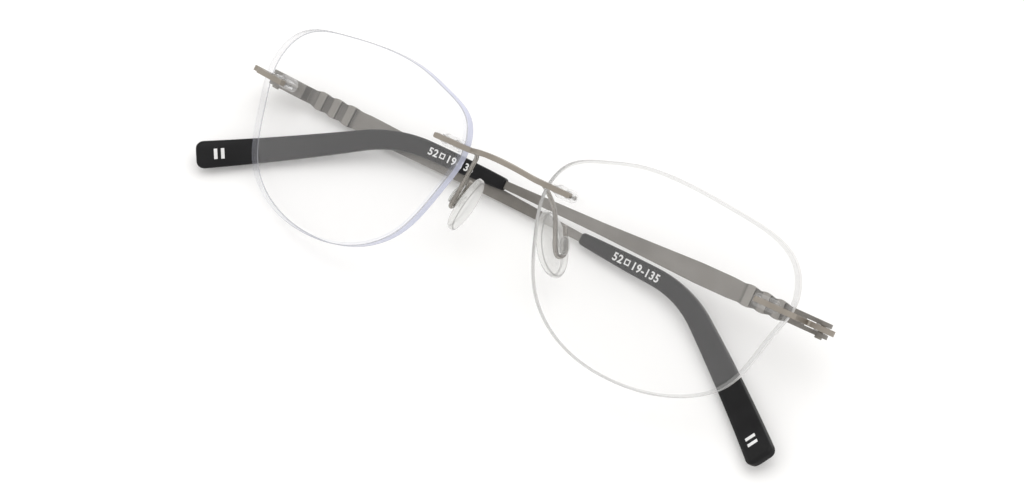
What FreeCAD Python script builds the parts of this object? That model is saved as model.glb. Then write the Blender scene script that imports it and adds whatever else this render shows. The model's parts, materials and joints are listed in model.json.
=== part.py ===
import FreeCAD, Part
import math
import os
from FreeCAD import Placement, Rotation, Vector

# Rimless eyeglasses, folded and lying with the lenses up.
# Every left sub-part (the wearer's left, +X) is modelled first, and its right twin is its mirror
# image. The front is drawn in the frame of the glasses: X across, Y up the face, Z forwards,
# with the origin halfway between the lens centres. At the end the whole is laid on its surface.

DIMENSIONS = [
    # alias, value, meaning
    ("lens_width", 52.0, "boxed width of a lens"),
    ("lens_height", 39.0, "boxed height of a lens"),
    ("bridge_width", 19.0, "gap between the two lens boxes"),
    ("lens_thickness", 1.9, "thickness of a demonstration lens"),
    ("front_radius", 100.0, "radius of the lens front"),
    ("back_radius", 98.1, "radius of the lens back, about the same centre"),
    ("wrap_angle", 9.35, "turn of each lens towards the temple"),
    ("lens_hole_radius", 0.77, "drilled holes for the bushing sleeves"),
    ("prism_depth", 40.0, "depth of the outline prism that trims a lens"),
    ("nasal_seat_across", -22.6, "bridge seat from the lens centre"),
    ("nasal_seat_up", 8.65, "bridge seat above the lens centre"),
    ("temporal_seat_across", 21.2, "endpiece seat from the lens centre"),
    ("temporal_seat_up", 5.1, "endpiece seat above the lens centre"),
    ("nasal_pin_spacing", 2.8, "between the two bridge pins of a lens"),
    ("temporal_pin_spacing", 3.4, "between the two endpiece pins of a lens"),
    ("pin_radius", 0.42, "pins welded to the bars"),
    ("pin_length", 4.0, "from inside the bar to behind the bushing"),
    ("pin_root", 0.45, "length of a pin inside its bar"),
    ("sleeve_radius", 0.74, "bushing sleeve inside the lens hole"),
    ("sleeve_bore_radius", 0.44, "hole in the sleeve for the pin"),
    ("sleeve_length", 1.75, "sleeve from the bushing plate to near the lens front"),
    ("bushing_height", 2.4, "height of the bushing plate"),
    ("bushing_plate", 0.8, "thickness of the bushing plate"),
    ("bushing_gap", 0.1, "between the lens back and the flat plate"),
    ("bar_height", 1.05, "height of the bars and hinge leaves"),
    ("bar_depth", 1.5, "depth of the bars, front to back"),
    ("bar_lift", 0.1, "between the lens front and a bar"),
    ("bridge_crown_up", 1.25, "rise of the bridge arch, where its straight runs would meet"),
    ("bridge_crown_forward", 4.6, "reach of the bridge arch, where its straight runs would meet"),
    ("pivot_across", 63.2, "hinge axis from the middle"),
    ("pivot_up", 4.0, "hinge axis above the lens centre"),
    ("pivot_back", 17.8, "hinge axis behind the lens centres"),
    ("front_tilt", 5.5, "lean of the lenses against the temples, seen from the side"),
    ("hinge_tilt_right", 2.7, "sideways lean of the right hinge axis"),
    ("hinge_tilt_left", 0.2, "sideways lean of the left hinge axis"),
    ("fold_lift_left", 1.8, "the left temple closes this much higher, over the right one"),
    ("knuckle_radius", 1.6, "rounded end of the leaf and of the fork"),
    ("block_height", 3.0, "height of the fork"),
    ("slot_height", 1.37, "slot between the prongs"),
    ("slot_length", 4.2, "slot root from the hinge axis"),
    ("block_length", 6.9, "end of the hinge block from the hinge axis"),
    ("screw_radius", 0.5, "shank of the hinge screw"),
    ("screw_head_radius", 0.72, "head of the hinge screw"),
    ("screw_head_height", 0.42, "head below the fork"),
    ("screw_bore_radius", 0.52, "hole in the fork"),
    ("leaf_bore_radius", 0.54, "hole in the leaf, with running clearance"),
    ("driver_slot_width", 0.22, "screwdriver slot"),
    ("driver_slot_depth", 0.2, "screwdriver slot"),
    ("washer_radius", 1.4, "friction washer"),
    ("washer_bore_radius", 0.54, "friction washer"),
    ("washer_thickness", 0.1, "friction washer"),
    ("strip_thickness", 1.0, "metal temple strip"),
    ("bow_depth", 4.3, "how far the temple bows away from the lenses"),
    ("bow_middle", 64.0, "lowest point of the bow from the hinge axis"),
    ("rib_height", 0.5, "ribs on the inner face"),
    ("tip_start", 72.3, "mouth of the plastic tip from the hinge axis"),
    ("curl_start", 85.0, "where the tip starts to curl towards the lens"),
    ("curl_radius", 110.0, "curl of the tip"),
    ("ear_bend_start", 97.0, "corner of the ear bend from the hinge axis"),
    ("ear_bend_angle", 30.9, "turn of the ear bend"),
    ("ear_bend_radius", 26.0, "radius of the ear bend"),
    ("ear_length", 39.0, "tip beyond the corner of the ear bend"),
    ("tip_thickness", 2.0, "thickness of the plastic tip"),
    ("core_height", 1.1, "metal core inside the tip"),
    ("core_length", 23.0, "metal core beyond the corner of the ear bend"),
    ("core_clearance", 0.03, "around the metal core"),
    ("core_thickness", 0.9, "metal core inside the tip"),
    ("arm_wire_radius", 0.45, "wire of the pad arms"),
    ("pad_thickness", 1.8, "nose pad"),
    ("pad_edge_radius", 0.65, "rounded edge of the nose pad"),
    ("boss_length", 2.8, "boss of the nose pad, along the pad"),
    ("boss_width", 2.2, "boss of the nose pad, across the pad"),
    ("boss_height", 2.0, "boss of the nose pad, out of the pad"),
    ("boss_cap_length", 3.6, "cap that keeps the boss in its loop"),
    ("boss_cap_width", 3.0, "cap that keeps the boss in its loop"),
    ("boss_cap_height", 0.5, "cap that keeps the boss in its loop"),
    ("rest_roll", 36.83, "roll of the glasses as they lie on a surface"),
    ("rest_pitch", -3.216, "pitch of the glasses as they lie on a surface"),
]

doc = FreeCAD.newDocument("eyeglasses")
sheet = doc.addObject("Spreadsheet::Sheet", "dimensions")
for row, (alias, size, meaning) in enumerate(DIMENSIONS, start=1):
    sheet.set(f"A{row}", alias)
    sheet.set(f"B{row}", str(size))
    sheet.set(f"C{row}", meaning)
    sheet.setAlias(f"B{row}", alias)
doc.recompute()

ALONG_X, ALONG_Y, ALONG_Z = Vector(1, 0, 0), Vector(0, 1, 0), Vector(0, 0, 1)
UPRIGHT = Rotation()
ACROSS = Rotation(ALONG_X, 90)          # turns a sketch's plane into the XZ plane


def size(alias):
    """A driving dimension, read from the sheet."""
    return float(sheet.get(alias))


def bind(thing, **properties):
    """Binds properties of a document object to cells, or to formulas of cells."""
    for name, formula in properties.items():
        thing.setExpression(name, formula)


def cell(alias):
    return f"dimensions.{alias}"


def add(kind, name):
    return doc.addObject(kind, name)


# ---------------------------------------------------------------- outlines and simple solids

def rounded(corners, closed=True):
    """Straight runs joined by tangent arcs. Each corner is a point and its radius."""
    count = len(corners)
    turns = []
    for index, (point, radius) in enumerate(corners):
        if radius == 0 or (not closed and index in (0, count - 1)):
            turns.append((point, None, point))
            continue
        back = (corners[index - 1][0] - point).normalize()
        ahead = (corners[(index + 1) % count][0] - point).normalize()
        half = back.getAngle(ahead) / 2
        reach = radius / math.tan(half)
        towards_centre = (back + ahead).normalize()
        middle = point + towards_centre * (radius / math.sin(half) - radius)
        turns.append((point + back * reach, middle, point + ahead * reach))
    curves = []
    for index in range(count):
        start, middle, end = turns[index]
        if middle is not None:
            curves.append(Part.Arc(start, middle, end))
        if closed or index < count - 1:
            following = turns[(index + 1) % count][0]
            if (following - end).Length > 1e-6:
                curves.append(Part.LineSegment(end, following))
    return curves


def flat(points):
    """Corners of an outline from (x, y, radius) triples."""
    return [(Vector(x, y, 0), radius) for x, y, radius in points]


def smooth_loop(points):
    """One closed smooth curve through the points."""
    curve = Part.BSplineCurve()
    curve.interpolate([Vector(x, y, 0) for x, y in points], PeriodicFlag=True)
    return [curve]


def stadium(length, height):
    """A slot-shaped outline, centred, with its length along X."""
    reach, half = (length - height) / 2, height / 2
    return [
        Part.LineSegment(Vector(-reach, -half, 0), Vector(reach, -half, 0)),
        Part.Arc(Vector(reach, -half, 0), Vector(reach + half, 0, 0), Vector(reach, half, 0)),
        Part.LineSegment(Vector(reach, half, 0), Vector(-reach, half, 0)),
        Part.Arc(Vector(-reach, half, 0), Vector(-reach - half, 0, 0), Vector(-reach, -half, 0)),
    ]


def circle(x, y, radius):
    return Part.Circle(Vector(x, y, 0), ALONG_Z, radius)


def prism(name, curves, length, turn=UPRIGHT):
    """A sketched outline extruded both ways from its plane, by a bound length in all."""
    sketch = add("Sketcher::SketchObject", name + "_outline")
    sketch.addGeometry(curves, False)
    sketch.Placement = Placement(Vector(), turn)
    solid = add("Part::Extrusion", name)
    solid.Base = sketch
    solid.DirMode = "Normal"
    solid.Symmetric = True
    solid.Solid = True
    bind(solid, LengthFwd=length)
    return solid


def cylinder(name, radius, length, place):
    solid = add("Part::Cylinder", name)
    bind(solid, Radius=radius, Height=length)
    solid.Placement = place
    return solid


def join(name, solids):
    solid = add("Part::MultiFuse", name)
    solid.Shapes = solids
    return solid


def group(name, solids):
    """Separate solids that share one node."""
    gathered = add("Part::Compound", name)
    gathered.Links = solids
    return gathered


def cut(name, base, tool):
    solid = add("Part::Cut", name)
    solid.Base, solid.Tool = base, tool
    return solid


def common(name, base, tool):
    solid = add("Part::Common", name)
    solid.Base, solid.Tool = base, tool
    return solid


def origin_plane(body, role):
    return next(item for item in body.Origin.OriginFeatures if item.Role == role)


def body_sketch(body, name, curves, role="XY_Plane", height=0.0):
    sketch = body.newObject("Sketcher::SketchObject", name)
    sketch.AttachmentSupport = [(origin_plane(body, role), "")]
    sketch.MapMode = "FlatFace"
    sketch.AttachmentOffset = Placement(Vector(0, 0, height), UPRIGHT)
    sketch.addGeometry(curves, False)
    return sketch


def body_pad(body, name, sketch, length, symmetric=False, backwards=False):
    pad = body.newObject("PartDesign::Pad", name)
    pad.Profile = sketch
    pad.SideType = "Symmetric" if symmetric else "One side"
    pad.Reversed = backwards
    bind(pad, Length=length)
    return pad


def body_pocket(body, name, sketch, length):
    """Cuts the sketch both ways from its plane, and makes sure that it removed something."""
    doc.recompute()
    before = body.Shape.Volume
    pocket = body.newObject("PartDesign::Pocket", name)
    pocket.Profile = sketch
    pocket.SideType = "Symmetric"
    bind(pocket, Length=length)
    doc.recompute()
    if not body.Shape.Volume < before:
        raise RuntimeError(f"{name} cut nothing")
    return pocket


def swept(name, profile, corners, upright):
    """A solid of constant section along straight runs and tangent arcs."""
    path = Part.Wire([curve.toShape() for curve in rounded(corners, closed=False)])
    shell = Part.BRepOffsetAPI.MakePipeShell(path)
    shell.setBiNormalMode(upright)
    shell.add(profile)
    shell.build()
    shell.makeSolid()
    solid = add("Part::Feature", name)
    solid.Shape = shell.shape()
    return solid


# ---------------------------------------------------------------- where things sit

def mirrored(place):
    """The same placement on the other side of the YZ plane."""
    base, (x, y, z, w) = place.Base, place.Rotation.Q
    return Placement(Vector(-base.x, base.y, base.z), Rotation(x, -y, -z, w))


LENS_PLACE = Placement(
    Vector((size("lens_width") + size("bridge_width")) / 2, 0, 0),
    Rotation(ALONG_Y, size("wrap_angle")),
)


def seat(across, up):
    """A place on the lens front: Z points out of the glass, X runs across."""
    radius = size("front_radius")
    deep = math.sqrt(radius**2 - across**2 - up**2) - radius
    outwards = Vector(across, up, deep + radius).normalize()
    sideways = ALONG_Y.cross(outwards).normalize()
    upwards = outwards.cross(sideways)
    return Placement(Vector(across, up, deep), Rotation(sideways, upwards, outwards, "XYZ"))


NASAL_SEAT = seat(size("nasal_seat_across"), size("nasal_seat_up"))
TEMPORAL_SEAT = seat(size("temporal_seat_across"), size("temporal_seat_up"))


def hinge_place(tilt):
    """The left hinge: the origin is on its axis, and Y runs along the axis."""
    pivot = Vector(size("pivot_across"), size("pivot_up"), -size("pivot_back"))
    lean = Rotation(ALONG_Z, tilt) * Rotation(ALONG_X, -size("front_tilt"))
    return Placement(pivot, lean)


HINGE_LEFT = hinge_place(size("hinge_tilt_left"))
HINGE_RIGHT = mirrored(hinge_place(size("hinge_tilt_right")))
FOLDED_LEFT = HINGE_LEFT * Placement(Vector(), Rotation(ALONG_Y, size("fold_lift_left")))

# The nose pad's own frame: X to its back edge, Y up, Z away from the nose.
PAD_CENTRE = Vector(9.9, -2.0, -10.0)
PAD_UP = Vector(-0.33, 0.91, 0.25).normalize()
PAD_OUT = Vector(0.94, 0.29, 0.19)
PAD_PLACE = Placement(PAD_CENTRE, Rotation(PAD_UP.cross(PAD_OUT), PAD_UP, PAD_OUT, "YZX"))

finished = {}


def pair(name, master, left_place, right_place=None):
    """Places a left sub-part and makes its right twin as a mirror image."""
    master.Label = name + "_left"
    master.Placement = left_place
    twin = add("Part::Mirroring", name + "_twin")
    twin.Source = master
    twin.Normal = ALONG_X
    twin.Label = name + "_right"
    if right_place is not None:
        twin.Placement = right_place * mirrored(left_place).inverse()
    finished[master.Label] = master
    finished[twin.Label] = twin


# ---------------------------------------------------------------- lenses and their fittings

# Outline of the left lens about its box centre, from the nose side round below to the top.
LENS_OUTLINE = [
    (-24.5, 0.0), (-19.4, -11.2), (-10.2, -17.65), (0.0, -19.4), (10.4, -18.0),
    (20.2, -11.8), (24.45, 0.0), (26.0, 7.0), (23.5, 13.6), (10.7, 18.35),
    (0.0, 19.45), (-10.9, 18.9), (-17.2, 17.1), (-23.75, 13.7), (-25.95, 7.0),
]


def pin_spots(spacing):
    return (-size(spacing) / 2, size(spacing) / 2)


def lens():
    blank = prism("lens_prism", smooth_loop(LENS_OUTLINE), cell("prism_depth"))
    front = add("Part::Sphere", "lens_front")
    back = add("Part::Sphere", "lens_back")
    bind(front, Radius=cell("front_radius"))
    bind(back, Radius=cell("back_radius"))
    front.Placement = back.Placement = Placement(Vector(0, 0, -size("front_radius")), UPRIGHT)
    disc = common("lens_disc", cut("lens_shell", front, back), blank)
    drills = []
    for side, place, spacing in (
        ("nasal", NASAL_SEAT, "nasal_pin_spacing"),
        ("temporal", TEMPORAL_SEAT, "temporal_pin_spacing"),
    ):
        for number, across in enumerate(pin_spots(spacing), start=1):
            start = place * Placement(Vector(across, 0, -2 * size("lens_thickness")), UPRIGHT)
            drills.append(
                cylinder(f"{side}_drill_{number}", cell("lens_hole_radius"),
                         f"4 * {cell('lens_thickness')}", start)
            )
    return cut("lens", disc, join("lens_drills", drills))


def bushing(side, spacing, length):
    """A clear double sleeve: an oval plate behind the lens and a sleeve in each hole."""
    body = add("PartDesign::Body", side + "_bushing")
    plate_front = -size("lens_thickness") - size("bushing_gap")
    plate = body_sketch(body, side + "_plate_outline", stadium(length, size("bushing_height")),
                        height=plate_front)
    body_pad(body, side + "_plate", plate, cell("bushing_plate"), backwards=True)
    sleeves = [circle(across, 0, size("sleeve_radius")) for across in pin_spots(spacing)]
    sleeve = body_sketch(body, side + "_sleeve_outline", sleeves, height=plate_front)
    body_pad(body, side + "_sleeves", sleeve, cell("sleeve_length"))
    bores = [circle(across, 0, size("sleeve_bore_radius")) for across in pin_spots(spacing)]
    bore = body_sketch(body, side + "_bore_outline", bores)
    body_pocket(body, side + "_bores", bore, "20")
    return body


def pins(side, spacing):
    """The two pins that are welded to a bar and pushed into a bushing."""
    foot = size("bar_lift") + size("pin_root") - size("pin_length")
    return group(side + "_pins", [
        cylinder(f"{side}_pin_{number}", cell("pin_radius"), cell("pin_length"),
                 Placement(Vector(across, 0, foot), UPRIGHT))
        for number, across in enumerate(pin_spots(spacing), start=1)
    ])


def bridge_bar():
    """A flat bar seated on both lens fronts, arching up and forwards over the nose."""
    half_depth = size("bar_depth") / 2 + size("bar_lift")
    outer = (LENS_PLACE * NASAL_SEAT).multVec(Vector(-5.5, 0, half_depth))
    inner = (LENS_PLACE * NASAL_SEAT).multVec(Vector(2.9, 0, half_depth))
    shoulder, tip = sorted((outer, inner), key=lambda point: point.x)
    crown = Vector(0, tip.y + size("bridge_crown_up"), tip.z + size("bridge_crown_forward"))
    right_shoulder = Vector(-shoulder.x, shoulder.y, shoulder.z)
    right_tip = Vector(-tip.x, tip.y, tip.z)
    corners = [(right_tip, 0), (right_shoulder, 2.5), (crown, 8.0), (shoulder, 2.5), (tip, 0)]
    half_height, depth = size("bar_height") / 2, size("bar_depth") / 2
    forwards = (right_shoulder - right_tip).normalize().cross(ALONG_Y)
    section = Part.makePolygon([
        right_tip + ALONG_Y * up + forwards * deep
        for up, deep in (
            (-half_height, -depth), (half_height, -depth), (half_height, depth),
            (-half_height, depth), (-half_height, -depth),
        )
    ])
    bar = swept("bridge_bar", section, corners, ALONG_Y)
    finished[bar.Label] = bar


# ---------------------------------------------------------------- endpieces and hinges

def endpiece():
    """A bar cut from flat sheet: it lies on the lens, steps back round the edge and ends in
    the hinge leaf. Drawn in the hinge's frame, X outwards and Y (here) forwards."""
    slope = math.radians(-22.0)
    along = Vector(math.cos(slope), math.sin(slope), 0)
    out = Vector(-math.sin(slope), math.cos(slope), 0)
    heel = Vector(-9.4, 13.07, 0)
    step_outside, step_inside = -1.2, -2.4
    toe = heel + out * size("bar_depth")
    front_corner = toe + along * ((step_outside - toe.x) / along.x)
    back_corner = heel + along * ((step_inside - heel.x) / along.x)
    knuckle, plate_front, plate_back, plate_end = size("knuckle_radius"), 4.5, 3.1, 4.0
    runs = rounded([
        (Vector(knuckle, 0, 0), 0),
        (Vector(knuckle, plate_back, 0), 0.5),
        (Vector(plate_end, plate_back, 0), 0.5),
        (Vector(plate_end, plate_front, 0), 0.7),
        (Vector(step_outside, plate_front, 0), 0.5),
        (front_corner, 0.6),
        (toe, 0.5),
        (heel, 0.15),
        (back_corner, 0.3),
        (Vector(step_inside, plate_back, 0), 0.6),
        (Vector(-knuckle, plate_back, 0), 0.4),
        (Vector(-knuckle, 0, 0), 0),
    ], closed=False)
    end = Part.Arc(Vector(-knuckle, 0, 0), Vector(0, -knuckle, 0), Vector(knuckle, 0, 0))
    body = add("PartDesign::Body", "endpiece")
    outline = body_sketch(body, "endpiece_outline", runs + [end], role="XZ_Plane")
    body_pad(body, "endpiece_sheet", outline, cell("bar_height"), symmetric=True)
    bore = body_sketch(body, "leaf_bore_outline", [circle(0, 0, size("leaf_bore_radius"))],
                       role="XZ_Plane")
    body_pocket(body, "leaf_bore", bore, "4")
    return body


def hinge_screw():
    """A slotted screw from below, threaded in the upper prong and cut flush with it."""
    half, head_radius = size("block_height") / 2, size("screw_head_radius")
    head_bottom = -half - size("screw_head_height")
    profile = rounded(flat([
        (0, head_bottom, 0), (head_radius, head_bottom, 0.15), (head_radius, -half, 0),
        (size("screw_radius"), -half, 0), (size("screw_radius"), half, 0), (0, half, 0),
    ]))
    body = add("PartDesign::Body", "hinge_screw")
    outline = body_sketch(body, "screw_profile", profile)
    turned = body.newObject("PartDesign::Revolution", "screw_turned")
    turned.Profile = outline
    turned.ReferenceAxis = (outline, ["V_Axis"])
    turned.Angle = 360
    half_width, depth = size("driver_slot_width") / 2, size("driver_slot_depth")
    slot = rounded(flat([
        (-half_width, head_bottom - 1, 0), (half_width, head_bottom - 1, 0),
        (half_width, head_bottom + depth, 0), (-half_width, head_bottom + depth, 0),
    ]))
    driver = body_sketch(body, "driver_slot_outline", slot)
    body_pocket(body, "driver_slot", driver, "3")
    return body


def hinge_washers():
    """One thin washer on each side of the leaf."""
    lying = Rotation(ALONG_X, -90)          # a cylinder along Y
    rings = []
    gap = (size("slot_height") - size("bar_height")) / 2
    for side, middle in (("upper", 1), ("lower", -1)):
        offset = middle * (size("bar_height") + gap) / 2 - size("washer_thickness") / 2
        place = Placement(Vector(0, offset, 0), lying)
        disc = cylinder(f"{side}_washer_disc", cell("washer_radius"), cell("washer_thickness"),
                        place)
        hole = cylinder(f"{side}_washer_hole", cell("washer_bore_radius"),
                        cell("washer_thickness"), place)
        rings.append(cut(f"{side}_washer", disc, hole))
    return group("hinge_washers", rings)


# ---------------------------------------------------------------- temples and ear tips
# A temple is drawn in the hinge's frame, folded: it runs towards -X, Y is up and Z faces the
# lens. Its side view and its top view are each extruded, and the temple is what they share.

def ear_side(half_height_start, half_height_end, length):
    """Side view of the ear bend: its upper and lower edges from the corner to the end."""
    turn = math.radians(size("ear_bend_angle"))
    corner = size("ear_bend_start")
    run, fall = math.cos(turn), math.sin(turn)
    lean = half_height_start * math.tan(turn / 2)
    end = Vector(corner + length * run, -length * fall, 0)
    out = Vector(fall, run, 0) * half_height_end
    upper = [Vector(corner + lean, half_height_start, 0), end + out]
    lower = [end - out, Vector(corner - lean, -half_height_start, 0)]
    return upper, lower


def inwards(points):
    """Temple outlines are written with the distance from the hinge axis; inwards is -X."""
    return [(Vector(-point.x, point.y, 0), radius) for point, radius in points]


def bow(distance):
    """Depth of the strip's middle behind the hinge axis."""
    flush = size("knuckle_radius") - size("strip_thickness") / 2
    middle, depth = size("bow_middle"), size("bow_depth")
    return -flush - depth * (1 - ((middle - distance) / middle) ** 2)


def bowed_strip(start, end, thickness):
    """Top view of a strip that follows the bow, then the curl of the tip, as a closed outline."""
    bow_radius = size("bow_middle") ** 2 / (2 * size("bow_depth"))
    curl, curl_radius = size("curl_start"), size("curl_radius")
    slope = (curl - size("bow_middle")) / bow_radius
    centre = Vector(curl, bow(curl), 0) + Vector(-slope, 1, 0).normalize() * curl_radius

    def offset_point(distance, offset):
        if distance <= curl:
            lean = (distance - size("bow_middle")) / bow_radius
            return Vector(distance, bow(distance), 0) + Vector(-lean, 1, 0).normalize() * offset
        turn = math.asin(slope) + (distance - curl) / curl_radius
        return centre + Vector(math.sin(turn), -math.cos(turn), 0) * (curl_radius - offset)

    def edge(offset, stations):
        marks = [offset_point(station, offset) for station in stations]
        marks = [Vector(-mark.x, mark.y, 0) for mark in marks]
        return Part.Arc(*marks)

    half = thickness / 2
    bowed = [start, (start + min(curl, end)) / 2, min(curl, end)]
    curled = [curl, (curl + end) / 2, end]
    arcs_out, arcs_in = [edge(-half, bowed)], [edge(half, bowed[::-1])]
    if end > curl:
        arcs_out.append(edge(-half, curled))
        arcs_in.insert(0, edge(half, curled[::-1]))
    first, last = arcs_out[0].StartPoint, arcs_out[-1].EndPoint
    return (
        arcs_out
        + [Part.LineSegment(last, arcs_in[0].StartPoint)]
        + arcs_in
        + [Part.LineSegment(arcs_in[-1].EndPoint, first)]
    )


def temple():
    end = size("ear_bend_start") + size("core_length") * 0.87
    block, half = size("block_height") / 2, size("core_height") / 2
    knuckle = size("knuckle_radius")

    # Side view: fork, three ribs with scalloped edges, the widest part, the taper, the core.
    upper, lower = ear_side(half, half, size("core_length"))
    shoulder = size("tip_start")
    edge = [
        (-knuckle - 0.2, block, 0), (7.9, block, 0.5), (9.8, 1.95, 1.3), (11.4, 1.62, 0.9),
        (13.1, 2.05, 1.3), (14.8, 1.75, 0.9), (16.5, 2.15, 1.3), (18.3, 1.9, 1.2),
        (20.8, 2.05, 6.0), (28.0, 2.05, 20.0), (50.0, 1.22, 40.0), (shoulder, 0.8, 0),
        (shoulder, half, 0),
    ]
    top = [(Vector(x, y, 0), radius) for x, y, radius in edge]
    bottom = [(Vector(x, -y, 0), radius) for x, y, radius in reversed(edge)]
    bend = size("ear_bend_radius")
    side = prism("temple_side", rounded(inwards(
        top + [(upper[0], bend + half), (upper[1], 0.3), (lower[0], 0.3), (lower[1], bend - half)]
        + bottom
    )), "60")

    # Top view: the strip, with the hinge block and the ribs standing on its inner face.
    strip = prism("temple_strip", bowed_strip(0.0, end, size("strip_thickness")), "80", ACROSS)
    block_end = size("block_length")
    outer = bow(0.0) - size("strip_thickness") / 2
    drop = bow(block_end) - bow(0.0)
    raised = prism("temple_block", rounded(inwards([
        (Vector(0, outer, 0), 0), (Vector(0, knuckle, 0), 0),
        (Vector(block_end - 0.3, knuckle + drop, 0), 0.2),
        (Vector(block_end, bow(block_end), 0), 0),
    ])), "80", ACROSS)
    tongue = cylinder("temple_knuckle", cell("knuckle_radius"), "20",
                      Placement(Vector(0, 10, 0), Rotation(ALONG_X, 90)))
    parts = [strip, raised, tongue]
    for number, middle in enumerate((9.8, 13.1, 16.5), start=1):
        base = bow(middle) + size("strip_thickness") / 2
        parts.append(prism(f"temple_rib_{number}", rounded(inwards([
            (Vector(middle - 0.95, base - 0.4, 0), 0),
            (Vector(middle - 0.85, base + size("rib_height"), 0), 0.2),
            (Vector(middle + 0.85, base + size("rib_height"), 0), 0.2),
            (Vector(middle + 0.95, base - 0.4, 0), 0),
        ])), "80", ACROSS))
    blank = common("temple_blank", side, join("temple_top", parts))

    # The slot takes the hinge leaf, and the screw goes through both prongs.
    root = size("slot_length")
    slot = prism("temple_slot", rounded([
        (Vector(3, -4, 0), 0), (Vector(3, 4, 0), 0), (Vector(-root, 4, 0), 0),
        (Vector(-root, -4, 0), 0),
    ]), cell("slot_height"), ACROSS)
    bore = cylinder("temple_bore", cell("screw_bore_radius"), "20",
                    Placement(Vector(0, 10, 0), Rotation(ALONG_X, 90)))
    return cut("temple", blank, join("temple_openings", [slot, bore]))


def temple_tip():
    start, length, bend = size("tip_start"), size("ear_length"), size("ear_bend_radius")
    end = size("ear_bend_start") + length * 0.87
    upper, lower = ear_side(1.85, 2.8, length)
    mouth = 1.15
    side = prism("tip_side", rounded(inwards([
        (Vector(start, -mouth, 0), 0.7), (Vector(start, mouth, 0), 0.7),
        (Vector(84, 1.7, 0), 30.0),
        (upper[0], bend), (upper[1], 1.5), (lower[0], 1.5), (lower[1], bend),
        (Vector(84, -1.7, 0), 30.0),
    ])), "60")
    plan = prism("tip_plan", bowed_strip(start - 0.5, end + 3, size("tip_thickness")), "80",
                 ACROSS)
    blank = common("tip_blank", side, plan)
    gap = size("core_clearance")
    half = size("core_height") / 2 + gap
    upper, lower = ear_side(half, half, size("core_length") + 0.2)
    channel_side = prism("channel_side", rounded(inwards([
        (Vector(start - 1, half, 0), 0), (upper[0], bend + half), (upper[1], 0),
        (lower[0], 0), (lower[1], bend - half), (Vector(start - 1, -half, 0), 0),
    ])), "60")
    channel_plan = prism("channel_plan", bowed_strip(
        start - 1, size("ear_bend_start") + size("core_length") * 0.87 + 0.2,
        size("strip_thickness") + 2 * gap), "80", ACROSS)
    return cut("temple_tip", blank, common("tip_channel", channel_side, channel_plan))


# ---------------------------------------------------------------- nose pads and their arms

# Outline of the left pad seen from its outer side: X to the back edge, Y up.
PAD_OUTLINE = [
    (-1.4, 6.6), (-3.5, 4.2), (-4.1, 0.8), (-3.3, -2.8), (-1.0, -5.7),
    (1.7, -6.6), (3.9, -4.8), (4.4, -1.2), (3.2, 2.6), (0.9, 5.6),
]
LOOP_HALF_WIDTH = 1.62      # middle of the wire from the middle of the boss
LOOP_HEIGHT = 2.1           # middle of the wire above the middle of the pad


def nose_pad():
    body = add("PartDesign::Body", "nose_pad")
    outline = body_sketch(body, "pad_outline", smooth_loop(PAD_OUTLINE))
    cushion = body_pad(body, "pad_cushion", outline, cell("pad_thickness"), symmetric=True)
    doc.recompute()
    rim = [
        f"Edge{number}" for number, edge in enumerate(cushion.Shape.Edges, start=1)
        if edge.BoundBox.ZLength < 0.01
    ]
    round_off = body.newObject("PartDesign::Fillet", "pad_round")
    round_off.Base = (cushion, rim)
    bind(round_off, Radius=cell("pad_edge_radius"))
    half = size("pad_thickness") / 2
    turned = Rotation(ALONG_Z, 90)
    neck = body_sketch(body, "boss_outline", stadium(size("boss_length"), size("boss_width")),
                       height=half - 0.1)
    neck.AttachmentOffset = Placement(Vector(0, 0, half - 0.1), turned)
    body_pad(body, "boss", neck, cell("boss_height"))
    cap_height = half - 0.1 + size("boss_height")
    cap = body_sketch(body, "cap_outline", stadium(size("boss_cap_length"),
                                                   size("boss_cap_width")))
    cap.AttachmentOffset = Placement(Vector(0, 0, cap_height), turned)
    body_pad(body, "boss_cap", cap, cell("boss_cap_height"))
    return body


def pad_arm():
    """Wire from the back of the bridge, down beside the nose and round the pad's boss."""
    loop = [
        PAD_PLACE.multVec(Vector(across, up, LOOP_HEIGHT))
        for across, up in ((-LOOP_HALF_WIDTH, 0.6), (-LOOP_HALF_WIDTH, -2.25),
                           (LOOP_HALF_WIDTH, -2.25), (LOOP_HALF_WIDTH, 3.6))
    ]
    corners = [
        (Vector(7.3, 8.9, 1.9), 0), (Vector(7.6, 8.3, -2.6), 1.8), (Vector(9.8, 4.7, -6.0), 3.0),
        (loop[0], 1.5), (loop[1], 1.55), (loop[2], 1.55), (loop[3], 0),
    ]
    start = corners[0][0]
    heading = corners[1][0] - start
    section = Part.Wire([Part.Circle(start, heading, size("arm_wire_radius")).toShape()])
    return swept("pad_arm", section, corners, Vector(0.97, 0.2, 0.15))


# ---------------------------------------------------------------- the whole pair of glasses

pair("lens", lens(), LENS_PLACE)
pair("nasal_bushing", bushing("nasal", "nasal_pin_spacing", 4.9), LENS_PLACE * NASAL_SEAT)
pair("bridge_pins", pins("bridge", "nasal_pin_spacing"), LENS_PLACE * NASAL_SEAT)
pair("temporal_bushing", bushing("temporal", "temporal_pin_spacing", 5.5),
     LENS_PLACE * TEMPORAL_SEAT)
pair("endpiece_pins", pins("endpiece", "temporal_pin_spacing"), LENS_PLACE * TEMPORAL_SEAT)
bridge_bar()
pair("endpiece", endpiece(), HINGE_LEFT, HINGE_RIGHT)
pair("hinge_screw", hinge_screw(), HINGE_LEFT, HINGE_RIGHT)
pair("hinge_washers", hinge_washers(), HINGE_LEFT, HINGE_RIGHT)
pair("temple", temple(), FOLDED_LEFT, HINGE_RIGHT)
pair("temple_tip", temple_tip(), FOLDED_LEFT, HINGE_RIGHT)
pair("pad_arm", pad_arm(), Placement())
pair("nose_pad", nose_pad(), PAD_PLACE)
doc.recompute()


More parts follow.
